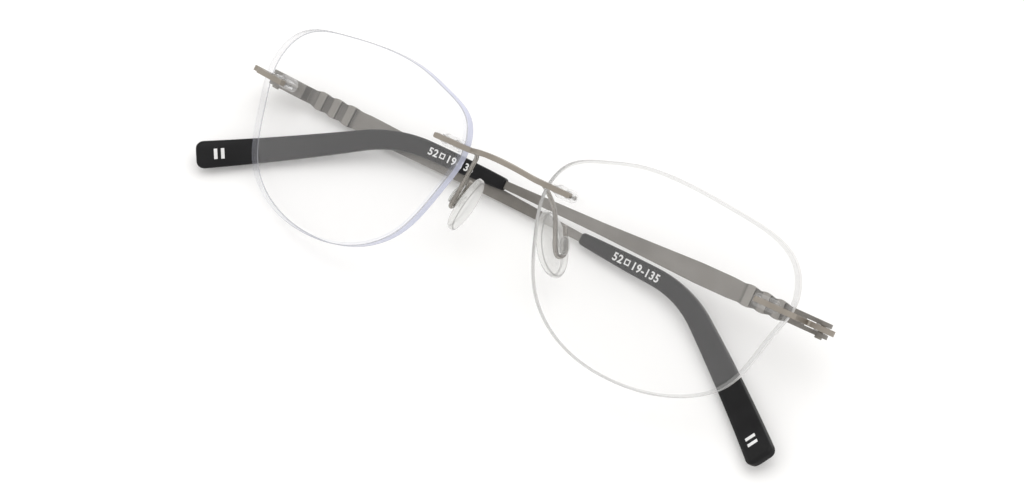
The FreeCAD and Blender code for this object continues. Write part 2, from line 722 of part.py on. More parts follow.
def move_all(step):
    """Moves every sub-part. A twin mirrors its moved source, so that move is undone first."""
    for sub_part in finished.values():
        moved = step * sub_part.Placement
        if sub_part.TypeId == "Part::Mirroring":
            moved = moved * mirrored(step).inverse()
        sub_part.Placement = moved
    doc.recompute()


def lay_down():
    """Turns the glasses as they lie on a surface, then puts the origin under their middle."""
    turn = Rotation(ALONG_Y, size("rest_pitch")) * Rotation(ALONG_X, size("rest_roll"))
    move_all(Placement(Vector(), turn))
    around = FreeCAD.BoundBox()
    for sub_part in finished.values():
        around.add(sub_part.Shape.optimalBoundingBox(False))
    move_all(Placement(Vector(-around.Center.x, -around.Center.y, -around.ZMin), UPRIGHT))


lay_down()

faulty = [item.Name for item in doc.Objects if {"Invalid", "Error"} & set(item.State)]
if faulty:
    raise RuntimeError(f"these objects failed: {faulty}")
for name, sub_part in finished.items():
    if sub_part.Shape.isNull() or not sub_part.Shape.isValid():
        raise RuntimeError(f"{name} has no valid shape")

os.makedirs("parts", exist_ok=True)
for name, sub_part in finished.items():
    sub_part.Shape.exportStep(f"parts/{name}.step")
    print(f"{name}: {sub_part.Shape.Volume:.2f} mm3, {len(sub_part.Shape.Solids)} solid(s)")
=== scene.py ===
import json
import math

import bmesh
import bpy
import numpy as np
from mathutils import Matrix, Vector

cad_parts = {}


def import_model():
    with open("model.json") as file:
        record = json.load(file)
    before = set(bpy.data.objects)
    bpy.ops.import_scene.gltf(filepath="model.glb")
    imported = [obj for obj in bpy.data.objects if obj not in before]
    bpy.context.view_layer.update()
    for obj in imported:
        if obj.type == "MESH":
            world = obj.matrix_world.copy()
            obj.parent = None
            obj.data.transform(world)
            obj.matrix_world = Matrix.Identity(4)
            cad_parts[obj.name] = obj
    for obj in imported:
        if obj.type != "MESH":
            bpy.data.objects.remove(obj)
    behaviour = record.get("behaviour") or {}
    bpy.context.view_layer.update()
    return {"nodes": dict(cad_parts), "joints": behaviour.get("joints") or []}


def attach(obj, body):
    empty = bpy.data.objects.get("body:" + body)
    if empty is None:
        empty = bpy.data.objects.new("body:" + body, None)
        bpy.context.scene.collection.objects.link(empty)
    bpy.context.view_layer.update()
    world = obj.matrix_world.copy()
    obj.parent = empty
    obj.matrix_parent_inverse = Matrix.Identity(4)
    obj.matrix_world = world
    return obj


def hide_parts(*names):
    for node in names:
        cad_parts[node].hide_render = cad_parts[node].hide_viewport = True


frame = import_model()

# Folded rimless eyeglasses lying on a pale floor. The lenses, nose pads, pad arms, bridge bar
# and ear tips are rebuilt here with rounder forms, and the other parts keep their CAD solids.
# Dimensions are in millimetres in the glasses' own frames, and metres in the scene.

MM = 0.001
NODES = frame["nodes"]
JOINTS = {joint["name"]: joint for joint in frame["joints"]}

# ------------------------------------------------------------------ the frames of the glasses
# X across, Y up the face, Z forwards, origin halfway between the lens centres. The rest pose
# turns this frame by a roll and a pitch, and its place comes from the left hinge.
REST_ROLL = math.radians(36.83)
REST_PITCH = math.radians(-3.216)
PIVOT = Vector((63.2, 4.0, -17.8))
FRONT_TILT = math.radians(-5.5)
HINGE_LEAN = {"left": math.radians(0.2), "right": math.radians(2.7)}
FOLD_LIFT = {"left": math.radians(1.8), "right": 0.0}

TURN = Matrix.Rotation(REST_PITCH, 4, "Y") @ Matrix.Rotation(REST_ROLL, 4, "X")
SHIFT = Vector(JOINTS["hinge_left"]["pos_m"]) - TURN @ (PIVOT * MM)
LAID = Matrix.Translation(SHIFT) @ TURN @ Matrix.Scale(MM, 4)
FLIP = Matrix.Scale(-1, 4, Vector((1, 0, 0)))


def on_side(side, place):
    """A left-hand place in millimetres, moved to the scene and mirrored for the right side."""
    return LAID @ (FLIP @ place if side == "right" else place)


def temple_place(side):
    lean = Matrix.Rotation(HINGE_LEAN[side], 4, "Z") @ Matrix.Rotation(FRONT_TILT, 4, "X")
    fold = Matrix.Rotation(FOLD_LIFT[side], 4, "Y")
    return on_side(side, Matrix.Translation(PIVOT) @ lean @ fold)


LENS_PLACE = Matrix.Translation((35.5, 0, 0)) @ Matrix.Rotation(math.radians(9.35), 4, "Y")


def axes_place(origin, up, out):
    """A place from its origin, its Y axis and roughly its Z axis."""
    y = Vector(up).normalized()
    x = y.cross(Vector(out)).normalized()
    z = x.cross(y)
    place = Matrix((x, y, z)).transposed().to_4x4()
    return Matrix.Translation(origin) @ place


PAD_PLACE = axes_place((9.9, -2.0, -10.0), (-0.33, 0.91, 0.25), (0.94, 0.29, 0.19))

# ------------------------------------------------------------------ mesh helpers


def piece(name, vertices, faces, place, body, replaces, materials, face_slots=None):
    """Makes a smooth piece that stands for a CAD node and rides on its body."""
    mesh = bpy.data.meshes.new(name)
    mesh.from_pydata([tuple(place @ Vector(v)) for v in vertices], [], faces)
    for material in materials:
        mesh.materials.append(material)
    if face_slots:
        mesh.polygons.foreach_set("material_index", face_slots)
    made = bpy.data.objects.new(name, mesh)
    bpy.context.scene.collection.objects.link(made)
    tidy = bmesh.new()
    tidy.from_mesh(mesh)
    bmesh.ops.remove_doubles(tidy, verts=tidy.verts, dist=1e-7)
    bmesh.ops.recalc_face_normals(tidy, faces=tidy.faces)
    tidy.to_mesh(mesh)
    tidy.free()
    mesh.polygons.foreach_set("use_smooth", [True] * len(mesh.polygons))
    mesh.set_sharp_from_angle(angle=math.radians(38))
    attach(made, body)
    if replaces:
        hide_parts(*replaces)
    return made


def smooth_loop(points, count):
    """A closed periodic cubic spline through the points, by chord length."""
    p = np.array(points, float)
    n = len(p)
    gaps = np.linalg.norm(np.roll(p, -1, 0) - p, axis=1)
    matrix = np.zeros((n, n))
    right = np.zeros((n, 2))
    for i in range(n):
        before, after = gaps[i - 1], gaps[i]
        matrix[i, (i - 1) % n] = before
        matrix[i, i] = 2 * (before + after)
        matrix[i, (i + 1) % n] = after
        right[i] = 6 * ((p[(i + 1) % n] - p[i]) / after - (p[i] - p[i - 1]) / before)
    second = np.linalg.solve(matrix, right)
    ends = np.concatenate([[0], np.cumsum(gaps)])
    loop = []
    for t in np.linspace(0, ends[-1], count, endpoint=False):
        i = min(int(np.searchsorted(ends, t, side="right")) - 1, n - 1)
        h, a = gaps[i], t - ends[i]
        b = h - a
        j = (i + 1) % n
        loop.append(
            second[i] * b**3 / (6 * h) + second[j] * a**3 / (6 * h)
            + (p[i] / h - second[i] * h / 6) * b + (p[j] / h - second[j] * h / 6) * a
        )
    return np.array(loop)


def capped_rings(rings):
    """Vertices and faces of rings joined in order, with a point closing each end."""
    count = len(rings[0])
    vertices = [tuple(v) for ring in rings for v in ring]
    faces = []
    for r in range(len(rings) - 1):
        a, b = r * count, (r + 1) * count
        faces += [(a + i, a + (i + 1) % count, b + (i + 1) % count, b + i) for i in range(count)]
    for ring, offset in ((rings[0], 0), (rings[-1], (len(rings) - 1) * count)):
        centre = len(vertices)
        vertices.append(tuple(np.mean(np.array(ring), axis=0)))
        faces += [(offset + i, offset + (i + 1) % count, centre) for i in range(count)]
    return vertices, faces


SECTION_POINTS = 48


def section(half_a, half_b, power):
    """Points of a rounded rectangle as a superellipse: (along the first axis, the second)."""
    points = []
    for k in range(SECTION_POINTS):
        angle = 2 * math.pi * (k + 0.5) / SECTION_POINTS
        c, s = math.cos(angle), math.sin(angle)
        points.append((
            math.copysign(abs(c) ** (2 / power), c) * half_a,
            math.copysign(abs(s) ** (2 / power), s) * half_b,
        ))
    return points


# ------------------------------------------------------------------ materials


def nodes_of(material):
    material.use_nodes = True
    tree = material.node_tree
    tree.nodes.clear()
    return tree, tree.nodes, tree.links


def noise(tree, scale, detail):
    """Noise in object space."""
    coordinates = tree.nodes.new("ShaderNodeTexCoord")
    texture = tree.nodes.new("ShaderNodeTexNoise")
    texture.inputs["Scale"].default_value = scale
    texture.inputs["Detail"].default_value = detail
    tree.links.new(coordinates.outputs["Object"], texture.inputs["Vector"])
    return texture.outputs["Fac"]


NOISE_LOW, NOISE_HIGH = 0.3, 0.7     # most of a noise texture's values lie between these


def ramp(tree, source, low, high):
    """Noise mapped to a range of greys or colours."""
    node = tree.nodes.new("ShaderNodeValToRGB")
    node.color_ramp.elements[0].position = NOISE_LOW
    node.color_ramp.elements[1].position = NOISE_HIGH
    node.color_ramp.elements[0].color = (*low, 1)
    node.color_ramp.elements[1].color = (*high, 1)
    tree.links.new(source, node.inputs["Fac"])
    return node.outputs["Color"]


def grey(value):
    return (value, value, value)


def bumped(tree, source, strength, distance):
    """A normal bent by the source, over a distance in metres."""
    bump = tree.nodes.new("ShaderNodeBump")
    bump.inputs["Strength"].default_value = strength
    bump.inputs["Distance"].default_value = distance
    tree.links.new(source, bump.inputs["Height"])
    return bump.outputs["Normal"]


METAL_EDGE_RADIUS = 0.00012          # metres, for the soft look of tumbled edges


def satin_metal(name, low, high, roughness=(0.34, 0.46), tone=None):
    """Bead-blasted titanium: a fine grain, soft edges and slow changes of tone.

    tone makes a colour output that multiplies the metal's own colour; the temples use it for
    painted highlights and painted shade along their ribs."""
    material = bpy.data.materials.new(name)
    tree, nodes, links = nodes_of(material)
    shader = nodes.new("ShaderNodeBsdfPrincipled")
    shader.inputs["Metallic"].default_value = 1.0
    colour = ramp(tree, noise(tree, 260.0, 4.0), low, high)
    if tone:
        product = nodes.new("ShaderNodeMix")
        product.data_type = "RGBA"
        product.blend_type = "MULTIPLY"
        product.inputs["Factor"].default_value = 1.0
        links.new(colour, product.inputs["A"])
        links.new(tone(tree), product.inputs["B"])
        colour = product.outputs["Result"]
    links.new(colour, shader.inputs["Base Color"])
    fine = noise(tree, 3600.0, 4.0)
    links.new(ramp(tree, fine, grey(roughness[0]), grey(roughness[1])),
              shader.inputs["Roughness"])
    soft_edges = nodes.new("ShaderNodeBevel")
    soft_edges.samples = 6
    soft_edges.inputs["Radius"].default_value = METAL_EDGE_RADIUS
    surface = bumped(tree, fine, 0.25, 0.00002)
    links.new(soft_edges.outputs["Normal"], surface.node.inputs["Normal"])
    links.new(surface, shader.inputs["Normal"])
    output = nodes.new("ShaderNodeOutputMaterial")
    links.new(shader.outputs["BSDF"], output.inputs["Surface"])
    return material


def satin_plastic(name, low, high, roughness=(0.3, 0.42), specular=0.22, coat=0.0):
    """Moulded plastic or ink: deep colour, faint waviness, and small differences of polish."""
    material = bpy.data.materials.new(name)
    tree, nodes, links = nodes_of(material)
    shader = nodes.new("ShaderNodeBsdfPrincipled")
    shader.inputs["Specular IOR Level"].default_value = specular
    shader.inputs["Coat Weight"].default_value = coat
    shader.inputs["Coat Roughness"].default_value = 0.14
    links.new(ramp(tree, noise(tree, 180.0, 3.0), low, high), shader.inputs["Base Color"])
    links.new(ramp(tree, noise(tree, 700.0, 5.0), grey(roughness[0]), grey(roughness[1])),
              shader.inputs["Roughness"])
    links.new(bumped(tree, noise(tree, 1500.0, 3.0), 0.12, 0.00002), shader.inputs["Normal"])
    output = nodes.new("ShaderNodeOutputMaterial")
    links.new(shader.outputs["BSDF"], output.inputs["Surface"])
    return material


FADE_LEAST = 0.12                    # what is left of a faded surface


def share_across(tree, fade):
    """A share that grows from the first to the second of two places along X, in metres."""
    coordinates = tree.nodes.new("ShaderNodeTexCoord")
    split = tree.nodes.new("ShaderNodeSeparateXYZ")
    share = tree.nodes.new("ShaderNodeMapRange")
    share.interpolation_type = "SMOOTHSTEP"
    share.inputs["From Min"].default_value, share.inputs["From Max"].default_value = fade
    share.inputs["To Min"].default_value = FADE_LEAST
    tree.links.new(coordinates.outputs["Object"], split.inputs["Vector"])
    tree.links.new(split.outputs["X"], share.inputs["Value"])
    return share.outputs["Result"]


GRAZING_MIRROR = 0.7                 # how much a clear surface mirrors edge on


def clear(name, tint, body, index, haze, blend, gloss_roughness=0.03, fade=None,
          narrowing=1.0):
    """Clear plastic: see-through face on, with gloss by Fresnel and a milky look edge on.

    haze is the least and the most of the milky body colour, which grows towards grazing. It
    grows sooner where blend is large, and only near grazing where narrowing is large.
    fade is two places across the glasses: the surface grows clear from the second to the
    first."""
    material = bpy.data.materials.new(name)
    tree, nodes, links = nodes_of(material)
    see = nodes.new("ShaderNodeBsdfTransparent")
    see.inputs["Color"].default_value = (*tint, 1)
    milk = nodes.new("ShaderNodeBsdfPrincipled")
    milk.inputs["Roughness"].default_value = 0.35
    links.new(ramp(tree, noise(tree, 320.0, 2.0), tuple(0.96 * c for c in body), body),
              milk.inputs["Base Color"])
    facing = nodes.new("ShaderNodeLayerWeight")
    facing.inputs["Blend"].default_value = blend
    spread = nodes.new("ShaderNodeMapRange")
    spread.inputs["To Min"].default_value = haze[0]
    spread.inputs["To Max"].default_value = haze[1]
    narrow = nodes.new("ShaderNodeMath")
    narrow.operation = "POWER"
    narrow.inputs[1].default_value = narrowing
    links.new(facing.outputs["Facing"], narrow.inputs[0])
    links.new(narrow.outputs["Value"], spread.inputs["Value"])
    inside = nodes.new("ShaderNodeMixShader")
    links.new(spread.outputs["Result"], inside.inputs["Fac"])
    links.new(see.outputs["BSDF"], inside.inputs[1])
    links.new(milk.outputs["BSDF"], inside.inputs[2])
    if fade:
        plain = nodes.new("ShaderNodeBsdfTransparent")
        veiled = nodes.new("ShaderNodeMixShader")
        links.new(share_across(tree, fade), veiled.inputs["Fac"])
        links.new(plain.outputs["BSDF"], veiled.inputs[1])
        links.new(inside.outputs["Shader"], veiled.inputs[2])
        inside = veiled
    gloss = nodes.new("ShaderNodeBsdfGlossy")
    gloss.inputs["Roughness"].default_value = gloss_roughness
    wave = bumped(tree, noise(tree, 60.0, 1.0), 0.05, 0.0002)
    links.new(wave, gloss.inputs["Normal"])
    tilt = nodes.new("ShaderNodeLayerWeight")
    tilt.inputs["Blend"].default_value = 0.5
    steep = nodes.new("ShaderNodeMath")
    steep.operation = "POWER"
    steep.inputs[1].default_value = 5.0
    links.new(tilt.outputs["Facing"], steep.inputs[0])
    mirror = nodes.new("ShaderNodeMapRange")
    mirror.inputs["To Min"].default_value = ((index - 1) / (index + 1)) ** 2
    mirror.inputs["To Max"].default_value = GRAZING_MIRROR
    links.new(steep.outputs["Value"], mirror.inputs["Value"])
    whole = nodes.new("ShaderNodeMixShader")
    links.new(mirror.outputs["Result"], whole.inputs["Fac"])
    links.new(inside.outputs["Shader"], whole.inputs[1])
    links.new(gloss.outputs["BSDF"], whole.inputs[2])
    output = nodes.new("ShaderNodeOutputMaterial")
    links.new(whole.outputs["Shader"], output.inputs["Surface"])
    return material


BAR_METAL = satin_metal("bar_metal", (0.29, 0.262, 0.228), (0.34, 0.308, 0.27))
RIBS, RIB_HALF_WIDTH = (9.8, 13.1, 16.5), 0.85      # along a temple, from its hinge axis
BLOCK_END = 6.9


def painted_rib_light(side):
    """Painted light along a temple: painted highlights on the rib tops and on the block's end
    edge, and painted shade in the valleys beside the ribs and on the low flat after the block.
    """
    place = temple_place(side)
    along = (place.to_3x3() @ Vector((-1, 0, 0))).normalized() / MM
    start = place.translation
    first, last = BLOCK_END - 0.5, RIBS[-1] + 3.0
    # Painted highlights (above 1) and painted shade (below 1), multiplied into the metal's colour
    # along the temple
    marks = [(BLOCK_END - 0.3, 1.0), (BLOCK_END - 0.1, 1.3), (BLOCK_END + 0.15, 0.62),
             (RIBS[0] - 1.5, 0.85)]
    for middle in RIBS:
        marks += [(middle - 1.1, 0.6), (middle - RIB_HALF_WIDTH, 1.3),
                  (middle + RIB_HALF_WIDTH, 1.2), (middle + 1.1, 0.62)]
    marks += [(last - 1.2, 1.0)]

    def tone(tree):
        coordinates = tree.nodes.new("ShaderNodeTexCoord")
        offset = tree.nodes.new("ShaderNodeVectorMath")
        offset.operation = "SUBTRACT"
        offset.inputs[1].default_value = start
        dot = tree.nodes.new("ShaderNodeVectorMath")
        dot.operation = "DOT_PRODUCT"
        dot.inputs[1].default_value = along
        span = tree.nodes.new("ShaderNodeMapRange")
        span.inputs["From Min"].default_value = first
        span.inputs["From Max"].default_value = last
        shades = tree.nodes.new("ShaderNodeValToRGB")
        tree.links.new(coordinates.outputs["Object"], offset.inputs[0])
        tree.links.new(offset.outputs["Vector"], dot.inputs[0])
        tree.links.new(dot.outputs["Value"], span.inputs["Value"])
        tree.links.new(span.outputs["Result"], shades.inputs["Fac"])
        elements = shades.color_ramp.elements
        elements[0].position, elements[0].color = 0.0, (1, 1, 1, 1)
        elements[1].position, elements[1].color = 1.0, (1, 1, 1, 1)
        for distance, shade in marks:
            mark = elements.new((distance - first) / (last - first))
            mark.color = (shade, shade, shade, 1)
        return shades.outputs["Color"]

    return tone


# The temples' metal carries painted highlights and painted shade along its ribs
TEMPLE_METALS = {
    side: satin_metal("temple_metal_painted_ribs_" + side, (0.2, 0.189, 0.174), (0.245, 0.232, 0.215),
                      tone=painted_rib_light(side))
    for side in ("right", "left")
}
HINGE_METAL = satin_metal("hinge_metal", (0.24, 0.225, 0.2), (0.34, 0.32, 0.29), (0.25, 0.38))
WIRE_METAL = satin_metal("wire_metal", (0.24, 0.225, 0.205), (0.32, 0.3, 0.275), (0.16, 0.26))
WASHER_METAL = satin_metal("washer_metal", (0.45, 0.43, 0.38), (0.55, 0.53, 0.48), (0.2, 0.3))
TIP_PLASTIC = satin_plastic("tip_plastic", (0.005, 0.005, 0.0055), (0.009, 0.009, 0.01),
                            specular=0.12, coat=0.12)
PRINT = satin_plastic("print_ink", (0.68, 0.68, 0.68), (0.82, 0.82, 0.82), (0.5, 0.65), 0.3)
PAD_PLASTIC = clear("pad_plastic", (0.975, 0.975, 0.97), (0.9, 0.9, 0.89), 1.45,
                    (0.2, 0.65), 0.5, 0.06, narrowing=2.0)
CAP_PLASTIC = clear("cap_plastic", (0.96, 0.96, 0.95), (0.75, 0.75, 0.74), 1.45, (0.04, 0.4),
                    0.5, 0.06, narrowing=2.0)
PAD_LINE = clear("pad_edge_line", (0.9, 0.9, 0.89), (0.3, 0.3, 0.295), 1.45, (0.6, 0.8), 0.5,
                 0.06)
BUSHING_PLASTIC = clear("bushing_plastic", (0.985, 0.985, 0.985), (0.9, 0.9, 0.91), 1.45,
                        (0.06, 0.75), 0.5, 0.2, narrowing=2.0)
LENS_GLASS = clear("lens_glass", (1.0, 1.0, 1.0), (0.95, 0.94, 0.96), 1.5, (0.017, 0.05), 0.2)
NASAL_FADE = (-0.05, -0.016)    # the right lens is milky on its nasal side only
RIMS = {
    "right": clear("rim_blue", (0.84, 0.86, 0.94), (0.54, 0.56, 0.71), 1.5, (0.62, 0.9), 0.5, 0.2,
                   NASAL_FADE),
    "left": clear("rim_grey", (0.9, 0.9, 0.9), (0.76, 0.76, 0.75), 1.5, (0.6, 0.9), 0.5, 0.2),
}
EDGE_ZONES = {                  # the front face just inside the edge, where the wall shows
    "right": clear("edge_zone_blue", (0.97, 0.975, 0.99), (0.68, 0.71, 0.83), 1.5, (0.1, 0.4),
                   0.5, 0.2, NASAL_FADE),
    "left": clear("edge_zone_grey", (0.97, 0.97, 0.97), (0.46, 0.46, 0.455), 1.5, (0.3, 0.5),
                  0.5, 0.2),
}
CHAMFERS = {
    "right": clear("chamfer_blue", (0.7, 0.71, 0.75), (0.42, 0.43, 0.47), 1.5, (0.4, 0.8), 0.5,
                   0.25),
    "left": clear("chamfer_grey", (0.86, 0.86, 0.86), (0.7, 0.7, 0.7), 1.5, (0.4, 0.8), 0.5,
                  0.25),
}

# ------------------------------------------------------------------ lenses

LENS_OUTLINE = [
    (-24.5, 0.0), (-19.4, -11.2), (-10.2, -17.65), (0.0, -19.4), (10.4, -18.0),
    (20.2, -11.8), (24.45, 0.0), (26.0, 7.0), (23.5, 13.6), (10.7, 18.35),
    (0.0, 19.45), (-10.9, 18.9), (-17.2, 17.1), (-23.75, 13.7), (-25.95, 7.0),
]
FRONT_RADIUS, BACK_RADIUS, CHAMFER = 100.0, 98.1, 0.16
SEATS = ((-22.6, 8.65, 1.4), (21.2, 5.1, 1.7))     # middle across and up, and half the pitch
HOLE_RADIUS = 0.76


def on_sphere(x, y, radius):
    return math.sqrt(radius**2 - x * x - y * y) - FRONT_RADIUS


def lens(side):
    """A meniscus with an edge wall and two fine chamfers, drilled for its pins.

    Its materials, by band: the faces, the rim wall, the chamfers, and the edge zone in front."""
    loop = smooth_loop(LENS_OUTLINE, 200)
    away = loop / np.linalg.norm(loop, axis=1)[:, None]
    fractions = [0.12, 0.25, 0.38, 0.5, 0.62, 0.74, 0.85, 0.94, 0.976]
    rings = []

    def ring(points, radius):
        rings.append([(x, y, on_sphere(x, y, radius)) for x, y in points])

    inner = loop - away * CHAMFER
    for fraction in fractions:
        ring(inner * fraction, FRONT_RADIUS)
    ring(inner, FRONT_RADIUS)
    ring(loop, FRONT_RADIUS - CHAMFER)
    ring(loop, BACK_RADIUS + CHAMFER)
    ring(inner, BACK_RADIUS)
    for fraction in reversed(fractions):
        ring(inner * fraction, BACK_RADIUS)
    spans = len(fractions)
    kinds = [0] * (spans - 1) + [3, 2, 1, 2] + [0] * spans
    vertices, faces = capped_rings(rings)
    for end, radius in ((-2, FRONT_RADIUS), (-1, BACK_RADIUS)):
        vertices[end] = (0.0, 0.0, on_sphere(0, 0, radius))
    count = len(loop)
    slots = [kinds[r] for r in range(len(rings) - 1) for _ in range(count)] + [0] * (2 * count)
    made = piece("lens_" + side + "_glass", vertices, faces, on_side(side, LENS_PLACE), "front",
                 ["lens_" + side],
                 [LENS_GLASS, RIMS[side], CHAMFERS[side], EDGE_ZONES[side]], slots)
    drill(made, side)
    return made


def drill(target, side):
    """Cuts the four holes for the bushing sleeves."""
    cutter = bpy.data.meshes.new("cutter")
    solid = bmesh.new()
    place = on_side(side, LENS_PLACE)
    for across, up, reach in SEATS:
        for offset in (-reach, reach):
            x = across + offset
            outwards = Vector((x, up, on_sphere(x, up, FRONT_RADIUS) + FRONT_RADIUS))
            turn = outwards.to_track_quat("Z", "Y").to_matrix().to_4x4()
            middle = Vector((x, up, on_sphere(x, up, FRONT_RADIUS) - 0.9))
            bmesh.ops.create_cone(solid, cap_ends=True, segments=32, radius1=HOLE_RADIUS,
                                  radius2=HOLE_RADIUS, depth=6.0,
                                  matrix=place @ Matrix.Translation(middle) @ turn)
    bmesh.ops.recalc_face_normals(solid, faces=solid.faces)
    solid.to_mesh(cutter)
    solid.free()
    tool = bpy.data.objects.new("cutter", cutter)
    bpy.context.scene.collection.objects.link(tool)
    change = target.modifiers.new("holes", "BOOLEAN")
    change.object = tool
    change.operation = "DIFFERENCE"
    change.solver = "EXACT"
    bpy.context.view_layer.update()
    depsgraph = bpy.context.evaluated_depsgraph_get()
    cut = bpy.data.meshes.new_from_object(target.evaluated_get(depsgraph))
    target.modifiers.clear()
    target.data = cut
    bpy.data.objects.remove(tool)


# ------------------------------------------------------------------ bridge bar

BAR_SEAT = Vector((12.66, 8.72, 1.58))      # middle of the bar over the left lens's seat
BAR_RUN = Vector((0.998, 0.0, 0.066)).normalized()
BAR_TIP, BAR_SHOULDER = 2.9, -5.5           # along the run, from the seat
CROWN_UP, CROWN_FORWARD = 1.25, 4.6         # the crown's corner, from the bar's tips
SHOULDER_RADIUS, CROWN_RADIUS = 2.5, 8.0
BAR_HALF_HEIGHT, BAR_HALF_DEPTH, BAR_END_ROUND, BAR_POWER = 0.525, 0.75, 0.42, 7.0
ARC_STEPS = 12


def rounded_path(corners, radii):
    """Points along straight runs, with an arc of its own radius at each inner corner."""
    points = [corners[0]]
    for before, corner, after, radius in zip(corners, corners[1:], corners[2:], radii):
        back, ahead = (before - corner).normalized(), (after - corner).normalized()
        half_angle = back.angle(ahead) / 2
        reach = radius / math.tan(half_angle)
        centre = corner + (back + ahead).normalized() * radius / math.sin(half_angle)
        start, end = corner + back * reach, corner + ahead * reach
        for step in range(ARC_STEPS + 1):
            spoke = start.lerp(end, step / ARC_STEPS) - centre
            points.append(centre + spoke.normalized() * radius)
    return points + [corners[-1]]


def run_along(points):
    """Distance along a path at each of its points."""
    steps = np.linalg.norm(np.diff(points, axis=0), axis=1)
    return np.concatenate([[0], np.cumsum(steps)])


def bridge_bar():
    """A flattened bar with round edges and ends, seated on both lenses and arched between."""
    tip, shoulder = BAR_SEAT + BAR_RUN * BAR_TIP, BAR_SEAT + BAR_RUN * BAR_SHOULDER
    crown = Vector((0.0, tip.y + CROWN_UP, tip.z + CROWN_FORWARD))
    corners = [FLIP @ tip, FLIP @ shoulder, crown, shoulder, tip]
    radii = (SHOULDER_RADIUS, CROWN_RADIUS, SHOULDER_RADIUS)
    path = np.array(rounded_path(corners, radii))
    run = run_along(path)
    length = run[-1]

    def at(distance):
        return Vector([np.interp(distance, run, path[:, axis]) for axis in range(3)])

    near = [0.0, 0.02, 0.06, 0.12, 0.2, 0.3, 0.42]
    stations = near + list(np.linspace(0.6, length - 0.6, 90)) + [length - d for d in near[::-1]]
    rings = []
    for distance in stations:
        start = min(max(distance - 0.15, 0.0), length - 0.3)
        forwards = (at(start + 0.3) - at(start)).cross(Vector((0, 1, 0))).normalized()
        inset = rounded_end(min(distance, length - distance), BAR_END_ROUND)
        rings.append([
            at(distance) + Vector((0, 1, 0)) * a + forwards * b
            for a, b in section(BAR_HALF_HEIGHT - inset, BAR_HALF_DEPTH - inset, BAR_POWER)
        ])
    vertices, faces = capped_rings(rings)
    return piece("bridge_bar_rounded", vertices, faces, LAID, "front", ["bridge_bar"],
                 [BAR_METAL])


# ------------------------------------------------------------------ ear tips

TIP_START, BEND, BEND_RADIUS, EAR_LENGTH = 72.3, 97.0, 26.0, 38.65
BEND_ANGLE = math.radians(30.9)
BOW_MIDDLE, BOW_DEPTH, CURL_START, CURL_RADIUS = 64.0, 4.3, 85.0, 110.0
STRIP = 1.0                                 # thickness of the temple's metal strip
TIP_HALF_THICKNESS, TIP_POWER = 0.98, 4.6
TIP_HALF_HEIGHTS = ((0.0, 1.2), (4.0, 1.42), (11.7, 1.7), (24.0, 1.86), (40.0, 2.3))
TIP_END_HALF_HEIGHT = 2.82
PRINT_LIFT = 0.025


def side_path(distance):
    """Side view of a tip: (u, v) and the heading after this distance along its middle line."""
    reach = BEND_RADIUS * math.tan(BEND_ANGLE / 2)
    straight = BEND - reach - TIP_START
    arc = BEND_RADIUS * BEND_ANGLE
    if distance <= straight:
        return TIP_START + distance, 0.0, 0.0
    if distance <= straight + arc:
        angle = (distance - straight) / BEND_RADIUS
        u = BEND - reach + BEND_RADIUS * math.sin(angle)
        return u, -BEND_RADIUS * (1 - math.cos(angle)), angle
    rest = distance - straight - arc + reach
    return BEND + rest * math.cos(BEND_ANGLE), -rest * math.sin(BEND_ANGLE), BEND_ANGLE


TIP_LENGTH = (
    BEND - TIP_START + EAR_LENGTH
    - 2 * BEND_RADIUS * math.tan(BEND_ANGLE / 2) + BEND_RADIUS * BEND_ANGLE
)


def strip_middle(u):
    """Top view: depth w of the strip's middle, and its heading towards the lens."""
    base = -(1.6 - STRIP / 2)
    radius = BOW_MIDDLE**2 / (2 * BOW_DEPTH)
    flat = min(u, CURL_START)
    depth = base - BOW_DEPTH * (1 - ((BOW_MIDDLE - flat) / BOW_MIDDLE) ** 2)
    slope = math.asin(max(-1.0, min(1.0, (flat - BOW_MIDDLE) / radius)))
    if u <= CURL_START:
        return depth, slope
    start = math.sin(slope)
    sine = start + (u - CURL_START) / CURL_RADIUS
    turn = math.asin(sine)
    return depth + CURL_RADIUS * (math.cos(slope) - math.cos(turn)), turn


def tip_half_height(distance):
    """Narrow at its mouth, even round the bend, and widest at its end."""
    places, heights = zip(*TIP_HALF_HEIGHTS, (TIP_LENGTH, TIP_END_HALF_HEIGHT))
    return float(np.interp(distance, places, heights))


def rounded_end(gap, radius):
    """How much narrower a rounded end is at this gap from it."""
    if gap >= radius:
        return 0.0
    return radius - math.sqrt(max(0.0, radius**2 - (radius - gap) ** 2))


def tip_frame(distance):
    """Middle point, upward direction and inward direction of a tip, in the temple's frame."""
    u, v, heading = side_path(distance)
    w, turn = strip_middle(u)
    middle = Vector((-u, v, w))
    up = Vector((-math.sin(heading), math.cos(heading), 0))
    inward = Vector((math.sin(turn), 0, math.cos(turn)))
    return middle, up, inward


def tip(side):
    rings = []
    mouth = [0.0, 0.05, 0.15, 0.3, 0.5, 0.8, 1.2]
    end = [TIP_LENGTH - gap for gap in (1.6, 1.2, 0.85, 0.55, 0.3, 0.14, 0.04, 0.0)]
    marks = mouth + list(np.linspace(2.0, TIP_LENGTH - 2.2, 54)) + end
    for distance in marks:
        middle, up, inward = tip_frame(distance)
        ahead = TIP_LENGTH - distance
        height = tip_half_height(distance) - rounded_end(ahead, 1.5) - rounded_end(distance, 0.6)
        depth = TIP_HALF_THICKNESS - rounded_end(ahead, 0.55) - rounded_end(distance, 0.4)
        rings.append([middle + up * a + inward * b
                      for a, b in section(height, depth, TIP_POWER)])
    vertices, faces = capped_rings(rings)
    return piece("ear_tip_" + side, vertices, faces, temple_place(side), "temple_" + side,
                 ["temple_tip_" + side], [TIP_PLASTIC])


